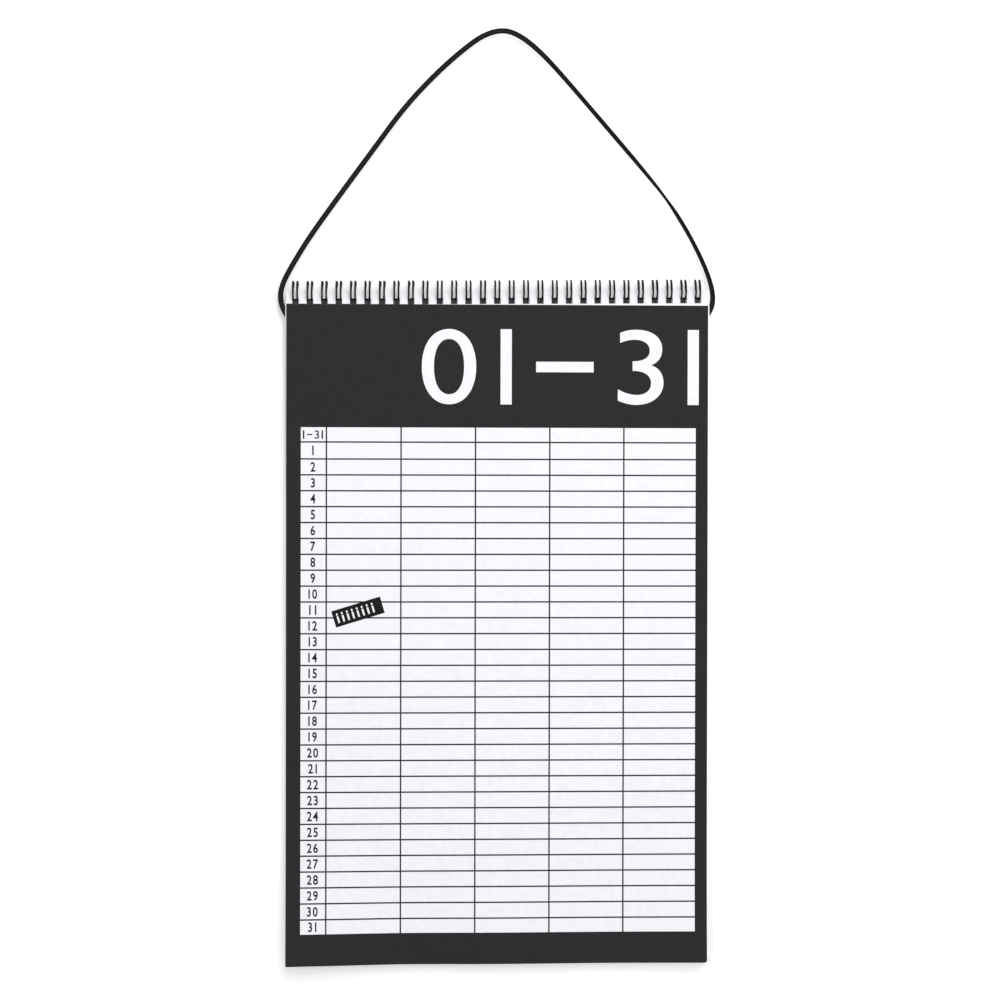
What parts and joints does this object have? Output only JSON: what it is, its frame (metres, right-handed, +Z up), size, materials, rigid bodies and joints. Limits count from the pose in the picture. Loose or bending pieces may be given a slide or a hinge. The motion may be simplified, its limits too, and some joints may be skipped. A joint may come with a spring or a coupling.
{
  "type": "wall calendar",
  "caption": "Tall monthly wall calendar: printed sheets and a stiff board on a black twin-loop wire, hung by a flat knotted cord, with a small label stuck on the front sheet.",
  "frame": {"origin": "the hang point: under the top of the cord's loop, on the hook or nail that carries it, in the middle of the cord's thickness", "axes": "+Z up, +Y from the front sheet to the wall, +X to the right of someone who reads the calendar"},
  "size_m": [0.2584, 0.0116, 0.5517],
  "materials": {
    "printed_sheet": "uncoated, printed matt black with a pale table of days",
    "page_paper": "uncoated, seen by its white edges",
    "board_card": "grey board, white on the front",
    "wire_coating": "black nylon coat over steel wire, satin",
    "cord_weave": "flat woven black cord",
    "label_paper": "coated black label with small white figures"
  },
  "bodies": {
    "pad": {"page_block": "page_paper", "back_board": "board_card", "wire_binding": "wire_coating", "hanging_cord": "cord_weave", "cord_knot_left": "cord_weave", "cord_knot_right": "cord_weave"},
    "leaf": {"front_sheet": "printed_sheet", "sticker": "label_paper"}
  },
  "joints": [
    {"name": "front_sheet_turn", "type": "hinge", "parent": "pad", "child": "leaf", "pos_m": [-0.0023, -0.0009, -0.1522], "axis": [-1, 0, 0], "range_deg": [0, 160]}
  ]
}
